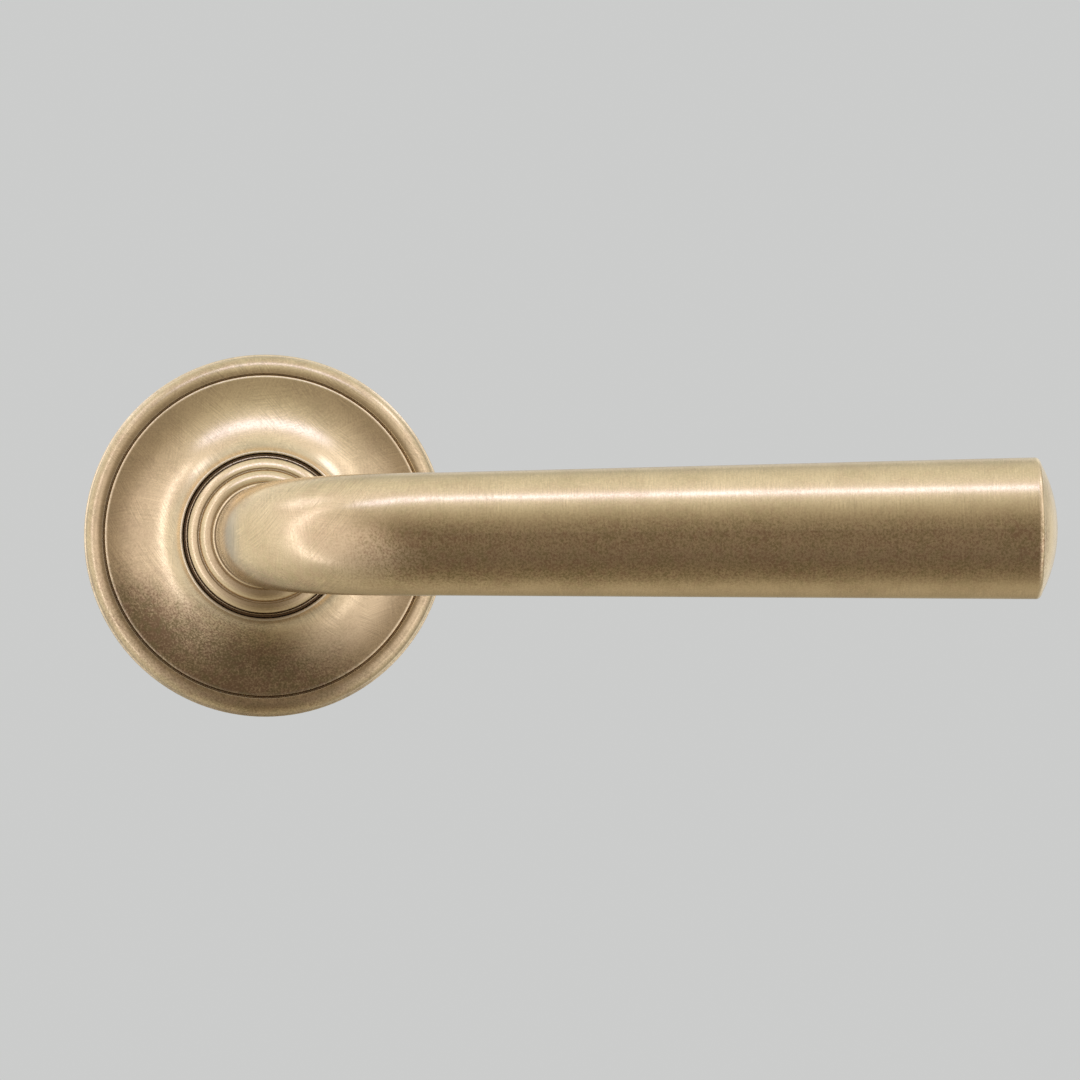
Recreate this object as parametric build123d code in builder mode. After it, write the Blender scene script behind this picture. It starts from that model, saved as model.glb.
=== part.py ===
"""Sprung door lever on a round moulded rose, all sizes in millimetres.

The door's face is the plane Y = 0 and the handle stands out from it towards -Y.
+X runs along the lever to its free end and +Z is up. The origin is where the
spindle's axis meets the door. "Height" below always means distance in front of
the door, so a point at height h has Y = -h.
"""

from build123d import *
from math import asin, cos, degrees, radians, sin
import os

# ---------------------------------------------------------------- lever
BAR_HEIGHT = 50.0           # the bar's axis in front of the door
BEND_RADIUS = 28.0          # centre line of the bend between neck and bar
NECK_RADIUS = 8.0
BEND_END_RADIUS = 9.92      # where the bend meets the straight bar
BAR_END_RADIUS = 11.45      # the bar is thickest at its free end
BAR_SHOULDER_X = 124.2      # the end's edge begins to round here
BAR_EDGE_X = 125.1          # crisp ring between the bar and its domed end
BAR_EDGE_RADIUS = 10.7
BAR_TIP_X = 127.8
BEND_STEPS = 6              # sections along the bend, 15 degrees apart
SPIGOT_END = -0.5           # the spigot ends just behind the door's face
FLAT_HALF_WIDTH = 7.3       # half the distance across the spigot's two flats

# ---------------------------------------------------------------- spindle
SPINDLE_SIDE = 8.0
SOCKET_SIDE = 8.2
SPINDLE_FRONT = 22.0        # height of the spindle's front end, inside the neck
SPINDLE_BACK = -50.0
GRUB_HEIGHT = 19.6
GRUB_RADIUS = 2.0

# ---------------------------------------------------------------- rose
ROSE_RADIUS = 30.0
ROSE_SKIN = 1.2
ROSE_INNER_RADIUS = 27.9
ROSE_BORE = 13.65
PLATE_RADIUS = 27.6
PLATE_THICKNESS = 2.2
FLOOR_BACK = 2.1            # the plate's raised floor, seen from the door side
FLOOR_FRONT = 3.1
RECESS_RADIUS = 11.8
FLOOR_RADIUS = 12.5
CLIP_WIRE = 0.5             # radius of the snap ring's wire
CLIP_RING_RADIUS = 27.55
CLIP_HEIGHT = 1.1

# ---------------------------------------------------------------- collar
COLLAR_BOTTOM = 10.4
COLLAR_TOP = 16.4
COLLAR_BORE = 8.03
PIN_HEIGHT = 11.25
PIN_RADIUS = 0.5

# ---------------------------------------------------------------- spring pack
HOUSING_BORE = 12.7
HOUSING_SKIN = 0.8
HOUSING_TOP = 8.5
HOUSING_LID = 0.6
EAR_OFFSET = 16.0
EAR_RADIUS = 3.4
EAR_SCREW_RADIUS = 1.25
CAM_BOTTOM = 9.1
CAM_TOP = 10.3
CAM_RADIUS = 12.5
NOTCH_FLOOR = 10.1          # radius at the bottom of the cam's rim notches
STOP_CIRCLE = 11.3
STOP_RADIUS = 1.0
STOP_ANGLES = (-22.5, 157.5)
LEVER_TRAVEL = 45.0         # degrees the lever turns down
SPRING_RADIUS = 11.25       # mean radius of the coils
SPRING_WIDTH = 1.8          # radial size of the flat wire
SPRING_WIRE = 1.2           # axial size of the flat wire
SPRING_PITCH = 1.32
SPRING_TURNS = 2.5
SPRING_FRONT = 7.1          # height of the front coil's centre line
LEG_ANGLE = 112.5           # moving leg of the spring, at rest
BUSH_BORE = 8.06

# ---------------------------------------------------------------- fixings
POST_OFFSET = 19.0
POST_RADIUS = 3.5
POST_LENGTH = 24.0
POST_SHANK_RADIUS = 2.6
POST_HEAD_RADIUS = 4.0
POST_THREAD_RADIUS = 1.65
POST_THREAD_DEPTH = 11.0
WOOD_SCREW_CIRCLE = 21.0
WOOD_SCREW_LENGTH = 25.0
WOOD_SCREW_HEAD = 3.6
WOOD_SCREW_SHANK = 1.9

os.makedirs("parts", exist_ok=True)

# Half sections are drawn with the radius along X and the height in front of the door up.
section = Plane(origin=(0, 0, 0), x_dir=(1, 0, 0), z_dir=(0, 0, -1))
# Faces seen from the front are drawn on this plane, and grow towards the viewer.
front = Plane(origin=(0, 0, 0), x_dir=(1, 0, 0), z_dir=(0, -1, 0))


def finish(part, name):
    """Label a finished piece and write it to its own file."""
    part.label = name
    export_step(part, f"parts/{name}.step")


def polar(radius, angle):
    """A point on the front plane, from its distance to the spindle's axis and its angle."""
    return (radius * cos(radians(angle)), radius * sin(radians(angle)))


def ring_piece(inner, outer, start_angle, end_angle):
    """A flat piece of a ring, between two radii and two angles."""
    with BuildSketch() as piece:
        with BuildLine():
            wide = CenterArc((0, 0), outer, start_angle, end_angle - start_angle)
            tight = CenterArc((0, 0), inner, start_angle, end_angle - start_angle)
            Line(wide @ 0, tight @ 0)
            Line(wide @ 1, tight @ 1)
        make_face()
    return piece.sketch_local


def turned(points):
    """Revolve a closed outline of straight lines about the spindle's axis."""
    with BuildSketch(section) as outline:
        with BuildLine():
            Polyline(*points, close=True)
        make_face()
    revolve(outline.sketch, axis=Axis.Y)


# ---------------------------------------------------------------- lever handle
def bend_plane(angle):
    """The plane square to the bend's centre line, `angle` degrees after it leaves the neck."""
    turn = radians(angle)
    centre = (BEND_RADIUS * (1 - cos(turn)), -(BAR_HEIGHT - BEND_RADIUS * (1 - sin(turn))))
    return Plane(
        origin=(centre[0], centre[1], 0),
        x_dir=(0, 0, 1),
        z_dir=(sin(turn), -cos(turn), 0),
    )


def bend_section_radius(angle):
    """The neck swells quickly as it starts to bend, then grows slowly into the bar."""
    growth = 1 - (1 - angle / 90) ** 2.2
    return NECK_RADIUS + (BEND_END_RADIUS - NECK_RADIUS) * growth


with BuildPart() as lever_handle:
    # The forged bend, through round sections square to its centre line.
    with BuildSketch(front.offset(COLLAR_TOP)):
        Circle(NECK_RADIUS - 0.05)
    for step in range(BEND_STEPS + 1):
        angle = 90 * step / BEND_STEPS
        with BuildSketch(bend_plane(angle)):
            Circle(bend_section_radius(angle))
    loft()
    # The straight bar and its domed end, turned about the bar's own axis.
    dome_rise = BAR_TIP_X - BAR_EDGE_X
    dome_radius = (BAR_EDGE_RADIUS**2 + dome_rise**2) / (2 * dome_rise)
    with BuildSketch(section):
        with BuildLine():
            Polyline(
                (BAR_TIP_X, BAR_HEIGHT),
                (BEND_RADIUS, BAR_HEIGHT),
                (BEND_RADIUS, BAR_HEIGHT + BEND_END_RADIUS),
                (BAR_SHOULDER_X, BAR_HEIGHT + BAR_END_RADIUS),
            )
            ThreePointArc(
                (BAR_SHOULDER_X, BAR_HEIGHT + BAR_END_RADIUS),
                (BAR_EDGE_X - 0.25, BAR_HEIGHT + BAR_END_RADIUS - 0.28),
                (BAR_EDGE_X, BAR_HEIGHT + BAR_EDGE_RADIUS),
            )
            RadiusArc(
                (BAR_EDGE_X, BAR_HEIGHT + BAR_EDGE_RADIUS),
                (BAR_TIP_X, BAR_HEIGHT),
                dome_radius,
            )
        make_face()
    revolve(axis=Axis((0, -BAR_HEIGHT, 0), (1, 0, 0)))
    # The spigot through the rose: round, with two flats that drive the cam.
    with BuildSketch(front.offset(COLLAR_BOTTOM)):
        Circle(NECK_RADIUS)
    extrude(amount=COLLAR_TOP - COLLAR_BOTTOM + 0.4)
    with BuildSketch(front.offset(SPIGOT_END)):
        Circle(NECK_RADIUS)
        Rectangle(2 * FLAT_HALF_WIDTH, 3 * NECK_RADIUS, mode=Mode.INTERSECT)
    extrude(amount=COLLAR_BOTTOM - SPIGOT_END)
    # Groove for the retaining clip.
    with BuildSketch(front.offset(0.3)):
        Circle(NECK_RADIUS + 1)
        Circle(NECK_RADIUS - 0.4, mode=Mode.SUBTRACT)
    extrude(amount=1.1, mode=Mode.SUBTRACT)
    # Square socket for the spindle, up to the top of the neck.
    with BuildSketch(front.offset(SPIGOT_END)):
        Rectangle(SOCKET_SIDE, SOCKET_SIDE)
    extrude(amount=SPINDLE_FRONT - SPIGOT_END + 0.4, mode=Mode.SUBTRACT)
    # Tapped hole under the neck for the grub screw, and the collar pin's hole.
    with BuildSketch(Plane.XY.offset(-NECK_RADIUS - 2)):
        with Locations((0, -GRUB_HEIGHT)):
            Circle(GRUB_RADIUS + 0.03)
    extrude(amount=NECK_RADIUS, mode=Mode.SUBTRACT)
    with BuildSketch(Plane.YZ.offset(-NECK_RADIUS - 2)):
        with Locations((-PIN_HEIGHT, 0)):
            Circle(PIN_RADIUS + 0.02)
    extrude(amount=3.6, mode=Mode.SUBTRACT)
finish(lever_handle.part, "lever_handle")

# ---------------------------------------------------------------- neck collar
with BuildPart() as neck_collar:
    # Two stepped quarter-round rings and a small bead, each set in from the last, on a
    # flange that closes the gap to the rose's lip just below the surface.
    with BuildSketch(section):
        with BuildLine():
            RadiusArc((8.35, COLLAR_TOP), (8.7, 15.8), 0.65)
            Polyline((8.7, 15.8), (8.8, 15.72), (8.95, 15.85))
            RadiusArc((8.95, 15.85), (10.85, 13.95), 2.6)
            Polyline((10.85, 13.95), (10.95, 13.85), (11.15, 13.85), (11.2, 13.95))
            RadiusArc((11.2, 13.95), (12.95, 12.2), 3.2)
            Polyline(
                (12.95, 12.2),
                (13.1, 12.1),
                (13.16, 11.87),
                (13.45, 11.85),
                (13.45, 10.8),
                (13.1, COLLAR_BOTTOM),
                (COLLAR_BORE, COLLAR_BOTTOM),
                (COLLAR_BORE, COLLAR_TOP),
                (8.35, COLLAR_TOP),
            )
        make_face()
    revolve(axis=Axis.Y)
    with BuildSketch(Plane.YZ.offset(-14)):
        with Locations((-PIN_HEIGHT, 0)):
            Circle(PIN_RADIUS + 0.02)
    extrude(amount=8, mode=Mode.SUBTRACT)
finish(neck_collar.part, "neck_collar")

# The pin that keeps the collar from turning on the neck, hidden inside the rose.
with BuildPart() as collar_pin:
    with BuildSketch(Plane.YZ.offset(-12.8)):
        with Locations((-PIN_HEIGHT, 0)):
            Circle(PIN_RADIUS)
            Circle(PIN_RADIUS - 0.2, mode=Mode.SUBTRACT)
            Rectangle(0.2, 2, align=(Align.CENTER, Align.MIN), mode=Mode.SUBTRACT)
    extrude(amount=6.2)
finish(collar_pin.part, "collar_pin")

# ---------------------------------------------------------------- spindle and grub screw
with BuildPart() as spindle:
    with BuildSketch(front.offset(SPINDLE_BACK)):
        Rectangle(SPINDLE_SIDE, SPINDLE_SIDE)
    extrude(amount=SPINDLE_FRONT - SPINDLE_BACK)
    chamfer(spindle.faces().sort_by(Axis.Y)[-1].edges(), 0.8)
    chamfer(spindle.faces().sort_by(Axis.Y)[0].edges(), 0.5)
    chamfer(spindle.edges().filter_by(Axis.Y), 0.3)
finish(spindle.part, "spindle")

with BuildPart() as grub_screw:
    # The screw's cupped point bears on the spindle's lower face.
    with BuildSketch(Plane.XY.offset(-SPINDLE_SIDE / 2 - 0.05)):
        with Locations((0, -GRUB_HEIGHT)):
            Circle(GRUB_RADIUS)
    extrude(amount=-3.6)
    chamfer(grub_screw.faces().sort_by(Axis.Z)[-1].edges(), 0.6)
    chamfer(grub_screw.faces().sort_by(Axis.Z)[0].edges(), 0.2)
    with BuildSketch(grub_screw.faces().sort_by(Axis.Z)[0]):
        RegularPolygon(1.0, 6, major_radius=False)
    extrude(amount=-1.8, mode=Mode.SUBTRACT)
finish(grub_screw.part, "grub_screw")

# ---------------------------------------------------------------- drive cam
with BuildPart() as drive_cam:
    with BuildSketch(front.offset(CAM_BOTTOM)):
        Circle(CAM_RADIUS)
        # Two rim notches ride on the stop pins and set the lever's travel.
        pin_half_angle = degrees(asin(STOP_RADIUS / STOP_CIRCLE)) + 0.3
        for stop in STOP_ANGLES:
            first = stop - pin_half_angle
            last = stop + LEVER_TRAVEL + pin_half_angle
            add(ring_piece(NOTCH_FLOOR, CAM_RADIUS + 1, first, last), mode=Mode.SUBTRACT)
        # A narrow notch takes the spring's moving leg.
        with Locations(polar(NOTCH_FLOOR + 2, LEG_ANGLE)):
            Rectangle(4, SPRING_WIRE + 0.2, rotation=LEG_ANGLE, mode=Mode.SUBTRACT)
        # Round hole with two flats, to fit the spigot.
        with BuildSketch(mode=Mode.SUBTRACT):
            Circle(NECK_RADIUS + 0.05)
            Rectangle(2 * FLAT_HALF_WIDTH + 0.1, 3 * NECK_RADIUS, mode=Mode.INTERSECT)
    extrude(amount=CAM_TOP - CAM_BOTTOM)
finish(drive_cam.part, "drive_cam")

# ---------------------------------------------------------------- clip and washers
with BuildPart() as retaining_clip:
    # Open steel ring in the spigot's groove, with two eyes for the pliers.
    with BuildSketch(front.offset(0.35)):
        Circle(10.0)
        eyes = [polar(9.35, 270 - 19), polar(9.35, 270 + 19)]
        with Locations(*eyes):
            Circle(1.65)
        Circle(NECK_RADIUS - 0.35, mode=Mode.SUBTRACT)
        add(ring_piece(5, 12, 270 - 9, 270 + 9), mode=Mode.SUBTRACT)
        with Locations(*eyes):
            Circle(0.8, mode=Mode.SUBTRACT)
    extrude(amount=1.0)
finish(retaining_clip.part, "retaining_clip")

with BuildPart() as thrust_washer:
    with BuildSketch(front.offset(1.8)):
        Circle(11.0)
        Circle(NECK_RADIUS + 0.15, mode=Mode.SUBTRACT)
    extrude(amount=0.25)
finish(thrust_washer.part, "thrust_washer")

# ---------------------------------------------------------------- rose cover
# The dish sweeps up from its sharp rim to the thin lip around the collar.
dish_rim = (26.2, 3.97)
dish_lip = (14.0, 12.1)
dish = Spline(
    dish_rim,
    (22.2, 5.05),
    (18.6, 7.0),
    (15.9, 9.25),
    dish_lip,
    tangents=[(-cos(radians(12)), sin(radians(12))), (-cos(radians(65)), sin(radians(65)))],
)


def under_dish(fraction):
    """A point one skin thickness below the dish, at a fraction of its length."""
    along = dish % fraction
    point = dish @ fraction
    return (point.X - ROSE_SKIN * along.Y, point.Y + ROSE_SKIN * along.X)


with BuildPart() as rose_cover:
    with BuildSketch(section):
        with BuildLine():
            # Foot, chamfered edge, rounded bead, groove and rim, from the door inwards.
            Polyline(
                (ROSE_INNER_RADIUS, 0),
                (29.8, 0),
                (ROSE_RADIUS, 0.2),
                (ROSE_RADIUS, 0.5),
                (29.93, 0.68),
                (29.72, 0.85),
            )
            RadiusArc((29.72, 0.85), (26.9, 3.6), -2.9)
            Polyline(
                (26.9, 3.6),
                (26.82, 3.3),
                (26.68, 3.3),
                (26.6, 3.55),
                (26.5, 3.74),
                (26.38, 3.88),
                dish_rim,
            )
            add(dish)
            # The bore, then back down the inside of the skin.
            Polyline(dish_lip, (13.82, 12.25), (ROSE_BORE, 12.25), (ROSE_BORE, 10.3))
            Spline(
                (ROSE_BORE, 10.3),
                under_dish(0.8),
                under_dish(0.6),
                under_dish(0.4),
                under_dish(0.2),
                (25.8, 2.75),
            )
            Polyline((25.8, 2.75), (ROSE_INNER_RADIUS, 2.45), (ROSE_INNER_RADIUS, 0))
        make_face()
    revolve(axis=Axis.Y)
    # Shallow internal groove that the snap ring springs into.
    with BuildSketch(section):
        with Locations((CLIP_RING_RADIUS, CLIP_HEIGHT)):
            Circle(CLIP_WIRE + 0.08)
    revolve(axis=Axis.Y, mode=Mode.SUBTRACT)
finish(rose_cover.part, "rose_cover")

# ---------------------------------------------------------------- mounting plate
wood_screw_places = [polar(WOOD_SCREW_CIRCLE, angle) for angle in (45, 135, 225, 315)]
post_places = [(-POST_OFFSET, 0), (POST_OFFSET, 0)]
ear_places = [(0, EAR_OFFSET), (0, -EAR_OFFSET)]

with BuildPart() as mounting_plate:
    # A disc with a shallow recess behind, where the clip and washers turn.
    turned(
        [
            (9.25, FLOOR_BACK),
            (RECESS_RADIUS, FLOOR_BACK),
            (RECESS_RADIUS, 0),
            (PLATE_RADIUS, 0),
            (PLATE_RADIUS, PLATE_THICKNESS),
            (FLOOR_RADIUS, PLATE_THICKNESS),
            (FLOOR_RADIUS, FLOOR_FRONT),
            (9.25, FLOOR_FRONT),
        ]
    )
    # Groove round the edge for the snap ring.
    with BuildSketch(section):
        with Locations((CLIP_RING_RADIUS, CLIP_HEIGHT)):
            Circle(CLIP_WIRE + 0.08)
    revolve(axis=Axis.Y, mode=Mode.SUBTRACT)
    with Locations(front.offset(PLATE_THICKNESS)):
        with Locations(*wood_screw_places):
            CounterSinkHole(2.2, WOOD_SCREW_HEAD + 0.1, counter_sink_angle=90)
        with Locations(*post_places):
            Hole(POST_SHANK_RADIUS + 0.03)
        with Locations(*ear_places):
            Hole(EAR_SCREW_RADIUS + 0.03)
finish(mounting_plate.part, "mounting_plate")

# Snap ring that holds the cover on the plate, open at the bottom.
with BuildPart() as cover_clip:
    with BuildSketch(section) as clip_wire:
        with Locations((CLIP_RING_RADIUS, CLIP_HEIGHT)):
            Circle(CLIP_WIRE)
    revolve(clip_wire.sketch.rotate(Axis.Y, 100), axis=Axis.Y, revolution_arc=340)
finish(cover_clip.part, "cover_clip")

# ---------------------------------------------------------------- spring housing
with BuildPart() as spring_housing:
    outer = HOUSING_BORE + HOUSING_SKIN
    # Pressed steel hat: a drum with a lid, standing on two ears.
    with BuildSketch(front.offset(PLATE_THICKNESS)):
        Circle(outer + 1.2)
        for ear in ear_places:
            with BuildLine():
                side = ear[1] / EAR_OFFSET
                Line((-6, side * 9), (-EAR_RADIUS, ear[1]))
                CenterArc(ear, EAR_RADIUS, 180, -180 * side)
                Line((EAR_RADIUS, ear[1]), (6, side * 9))
                Line((6, side * 9), (-6, side * 9))
            make_face()
        with Locations(*ear_places):
            Circle(EAR_SCREW_RADIUS + 0.15, mode=Mode.SUBTRACT)
    extrude(amount=HOUSING_SKIN)
    with BuildSketch(front.offset(PLATE_THICKNESS)):
        Circle(outer)
    extrude(amount=HOUSING_TOP - PLATE_THICKNESS)
    fillet(spring_housing.faces().sort_by(Axis.Y)[0].edges(), 0.7)
    with BuildSketch(front.offset(PLATE_THICKNESS)):
        Circle(HOUSING_BORE)
    extrude(amount=HOUSING_TOP - HOUSING_LID - PLATE_THICKNESS, mode=Mode.SUBTRACT)
    # The lid's bore, the slot that the spring's leg sweeps and the stop pins' holes.
    with BuildSketch(front.offset(HOUSING_TOP - HOUSING_LID)):
        Circle(9.25)
        swept_first = LEG_ANGLE - LEVER_TRAVEL - 6
        add(ring_piece(SPRING_RADIUS - 1.1, SPRING_RADIUS + 1.1, swept_first, LEG_ANGLE + 6))
        with Locations(*[polar(STOP_CIRCLE, angle) for angle in STOP_ANGLES]):
            Circle(STOP_RADIUS + 0.02)
    extrude(amount=2, mode=Mode.SUBTRACT)
    # Slot in the drum's side for the spring's fixed leg, open towards the plate.
    with BuildSketch(front.offset(PLATE_THICKNESS)):
        with Locations(polar(outer, LEG_ANGLE + 180)):
            Rectangle(8, 2.2, rotation=LEG_ANGLE)
    extrude(amount=2.4, mode=Mode.SUBTRACT)
finish(spring_housing.part, "spring_housing")

with BuildPart() as stop_pins:
    with BuildSketch(front.offset(HOUSING_TOP - HOUSING_LID)):
        with Locations(*[polar(STOP_CIRCLE, angle) for angle in STOP_ANGLES]):
            Circle(STOP_RADIUS)
    extrude(amount=CAM_TOP - 0.1 - HOUSING_TOP + HOUSING_LID)
    chamfer(stop_pins.faces().group_by(Axis.Y)[0].edges(), 0.2)
finish(stop_pins.part, "stop_pins")

with BuildPart() as housing_screws:
    # Pan heads on the ears, shanks down through the plate.
    head_seat = PLATE_THICKNESS + HOUSING_SKIN
    with BuildSketch(front.offset(head_seat)):
        with Locations(*ear_places):
            Circle(2.2)
    extrude(amount=1.4)
    fillet(housing_screws.faces().group_by(Axis.Y)[0].edges(), 0.6)
    with BuildSketch(front.offset(head_seat + 1.4)):
        with Locations(*ear_places):
            Rectangle(2.6, 0.5)
            Rectangle(0.5, 2.6)
    extrude(amount=-0.9, mode=Mode.SUBTRACT)
    with BuildSketch(front.offset(0.2)):
        with Locations(*ear_places):
            Circle(EAR_SCREW_RADIUS)
    extrude(amount=head_seat - 0.2)
finish(housing_screws.part, "housing_screws")

# ---------------------------------------------------------------- bushes
with BuildPart() as rear_bush:
    turned(
        [
            (BUSH_BORE, FLOOR_BACK),
            (9.2, FLOOR_BACK),
            (9.2, FLOOR_FRONT),
            (10.0, FLOOR_FRONT),
            (10.0, FLOOR_FRONT + 0.8),
            (BUSH_BORE, FLOOR_FRONT + 0.8),
        ]
    )
finish(rear_bush.part, "rear_bush")

with BuildPart() as front_bush:
    turned(
        [
            (BUSH_BORE, 5.6),
            (9.2, 5.6),
            (9.2, HOUSING_TOP),
            (10.0, HOUSING_TOP),
            (10.0, CAM_BOTTOM - 0.05),
            (BUSH_BORE, CAM_BOTTOM - 0.05),
        ]
    )
finish(front_bush.part, "front_bush")

# ---------------------------------------------------------------- torsion spring
with BuildPart() as torsion_spring:
    # Left-hand coil of flat wire, so that pressing the lever down winds it tighter.
    coil_height = SPRING_PITCH * SPRING_TURNS
    coil_back = SPRING_FRONT - coil_height
    coil = Helix(
        SPRING_PITCH,
        coil_height,
        SPRING_RADIUS,
        center=(0, -coil_back, 0),
        direction=(0, -1, 0),
        lefthand=True,
        mode=Mode.PRIVATE,
    ).rotate(Axis.Y, 90 - LEG_ANGLE)
    back_end = coil @ 0
    with BuildLine():
        add(coil)
    with BuildSketch(Plane(back_end, x_dir=(back_end.X, 0, back_end.Z), z_dir=coil % 0)):
        Rectangle(SPRING_WIDTH, SPRING_WIRE)
    sweep(is_frenet=True)
    # The fixed leg points outwards through the housing's side slot.
    with BuildSketch(front.offset(coil_back - SPRING_WIRE / 2)):
        with Locations(polar(SPRING_RADIUS + 1.75, LEG_ANGLE + 180)):
            Rectangle(3.5, SPRING_WIDTH, rotation=LEG_ANGLE)
    extrude(amount=SPRING_WIRE)
    # The moving leg points forwards through the lid into the cam's notch.
    with BuildSketch(front.offset(SPRING_FRONT)):
        with Locations(polar(SPRING_RADIUS, LEG_ANGLE)):
            Rectangle(SPRING_WIDTH, SPRING_WIRE, rotation=LEG_ANGLE)
    extrude(amount=CAM_TOP - 0.1 - SPRING_FRONT)
finish(torsion_spring.part, "torsion_spring")

# ---------------------------------------------------------------- spring washer
with BuildPart() as spring_washer:
    # A ring cut from a slightly bowed strip of spring steel, which takes up the end play.
    with BuildSketch(section):
        with BuildLine():
            low = ThreePointArc((-11, 1.57), (0, 1.38), (11, 1.57))
            high = ThreePointArc((-11, 1.77), (0, 1.58), (11, 1.77))
            Line(low @ 0, high @ 0)
            Line(low @ 1, high @ 1)
        make_face()
    extrude(amount=11, both=True)
    with BuildSketch(front):
        Circle(10.8)
        Circle(NECK_RADIUS + 0.15, mode=Mode.SUBTRACT)
    extrude(amount=3, mode=Mode.INTERSECT)
finish(spring_washer.part, "spring_washer")

# ---------------------------------------------------------------- fixing posts
with BuildPart() as fixing_posts:
    # Plain posts into the door, tapped from their far ends, with heads peened over the plate.
    with BuildSketch(front):
        with Locations(*post_places):
            Circle(POST_RADIUS)
    extrude(amount=-POST_LENGTH)
    chamfer(fixing_posts.faces().group_by(Axis.Y)[-1].edges(), 0.4)
    with BuildSketch(front):
        with Locations(*post_places):
            Circle(POST_SHANK_RADIUS)
    extrude(amount=PLATE_THICKNESS)
    with BuildSketch(front.offset(PLATE_THICKNESS)):
        with Locations(*post_places):
            Circle(POST_HEAD_RADIUS)
    extrude(amount=0.8)
    fillet(fixing_posts.faces().group_by(Axis.Y)[0].edges(), 0.5)
    with BuildSketch(front.offset(-POST_LENGTH)):
        with Locations(*post_places):
            Circle(POST_THREAD_RADIUS)
    extrude(amount=POST_THREAD_DEPTH, mode=Mode.SUBTRACT)
finish(fixing_posts.part, "fixing_posts")

# ---------------------------------------------------------------- wood screws
with BuildPart() as wood_screws:
    # Countersunk head, plain shank, then a ridged and pointed stretch.
    thread_start = -8.0
    thread_pitch = 1.8
    ridges = 8
    with BuildSketch(section) as screw_section:
        with BuildLine():
            outline = [(0, PLATE_THICKNESS), (WOOD_SCREW_HEAD, PLATE_THICKNESS)]
            outline.append((WOOD_SCREW_SHANK, PLATE_THICKNESS - WOOD_SCREW_HEAD + WOOD_SCREW_SHANK))
            outline.append((WOOD_SCREW_SHANK, thread_start))
            for ridge in range(ridges):
                taper = 1 - 0.06 * ridge
                height = thread_start - thread_pitch * ridge
                outline.append((1.3 * taper, height - 0.4 * thread_pitch))
                outline.append((1.9 * taper, height - 0.9 * thread_pitch))
                outline.append((1.85 * taper, height - 1.0 * thread_pitch))
            outline.append((0, -WOOD_SCREW_LENGTH))
            Polyline(*outline, close=True)
        make_face()
    screw = revolve(screw_section.sketch, axis=Axis.Y, mode=Mode.PRIVATE)
    with BuildSketch(front.offset(PLATE_THICKNESS), mode=Mode.PRIVATE) as cross:
        Rectangle(3.6, 0.9)
        Rectangle(0.9, 3.6)
    recess = extrude(cross.sketch, amount=-1.6, mode=Mode.PRIVATE)
    for place in wood_screw_places:
        add((screw - recess).moved(Location((place[0], 0, place[1]))))
finish(wood_screws.part, "wood_screws")
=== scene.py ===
# %% [markdown]
# # A sprung door lever in aged brass
# The handle is a round bar that bends once and grows towards a domed end, on a
# moulded rose. Everything here is in metres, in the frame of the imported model:
# +X runs along the lever, the door's face is Y = 0 and the viewer stands at -Y.
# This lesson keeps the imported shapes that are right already, and gives them the
# finish of old brass that was rubbed by hand. It then remakes the few pieces whose
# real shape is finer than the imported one: the spring, the screws and the posts.

import math

import bmesh
import bpy
from mathutils import Matrix, Vector


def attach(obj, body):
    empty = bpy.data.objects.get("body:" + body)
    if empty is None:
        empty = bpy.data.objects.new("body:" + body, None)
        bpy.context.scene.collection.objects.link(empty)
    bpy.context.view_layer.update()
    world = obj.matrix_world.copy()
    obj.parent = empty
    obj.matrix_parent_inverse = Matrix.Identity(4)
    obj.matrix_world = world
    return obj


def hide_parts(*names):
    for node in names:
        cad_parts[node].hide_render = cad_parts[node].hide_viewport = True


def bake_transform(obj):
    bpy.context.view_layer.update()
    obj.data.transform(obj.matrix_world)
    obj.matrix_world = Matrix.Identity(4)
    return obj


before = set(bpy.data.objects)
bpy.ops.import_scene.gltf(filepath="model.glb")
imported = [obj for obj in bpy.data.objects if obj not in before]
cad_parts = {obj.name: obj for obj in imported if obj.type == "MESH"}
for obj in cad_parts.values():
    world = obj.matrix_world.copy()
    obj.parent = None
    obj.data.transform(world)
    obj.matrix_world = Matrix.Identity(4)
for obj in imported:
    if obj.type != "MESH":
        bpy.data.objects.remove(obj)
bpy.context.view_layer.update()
MM = 0.001
print("pieces:", sorted(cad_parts))

# %% [markdown]
# ## Helpers for shader nodes
# A material is a small graph. These helpers keep the graphs readable: one adds a node
# with its settings and wires its inputs in the same call, one does a step of sums, one
# makes a ramp, one mixes two colours, and one starts a node group whose inputs and
# outputs have names. An input may be a number, a colour or another node's output.


# %% Node helpers
def wire(tree, made, wires):
    """Fill or wire a node's inputs from a dict of input name to value or output."""
    for key, value in wires.items():
        if isinstance(value, bpy.types.NodeSocket):
            tree.links.new(value, made.inputs[key])
        else:
            made.inputs[key].default_value = value
    return made


def node(tree, kind, wires=None, **settings):
    """Add a node, set its properties, then fill or wire its inputs."""
    made = tree.nodes.new(kind)
    for key, value in settings.items():
        setattr(made, key, value)
    return wire(tree, made, wires or {})


def sums(tree, operation, *values, clamp=False):
    """One step of arithmetic between sockets or numbers; gives its output."""
    wires = dict(enumerate(values))
    return node(tree, "ShaderNodeMath", wires, operation=operation, use_clamp=clamp).outputs[0]


def fade(tree, value, start, end):
    """A smooth 0 to 1 as value goes from start to end."""
    wires = {"Value": value, "From Min": start, "From Max": end}
    return node(tree, "ShaderNodeMapRange", wires, interpolation_type="SMOOTHSTEP").outputs[0]


def between(tree, value, rise, fall):
    """1 between two soft edges, 0 outside. An edge is a pair: where it is 0, where it is 1."""
    return sums(tree, "MULTIPLY", fade(tree, value, *rise), fade(tree, value, *fall))


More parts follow.
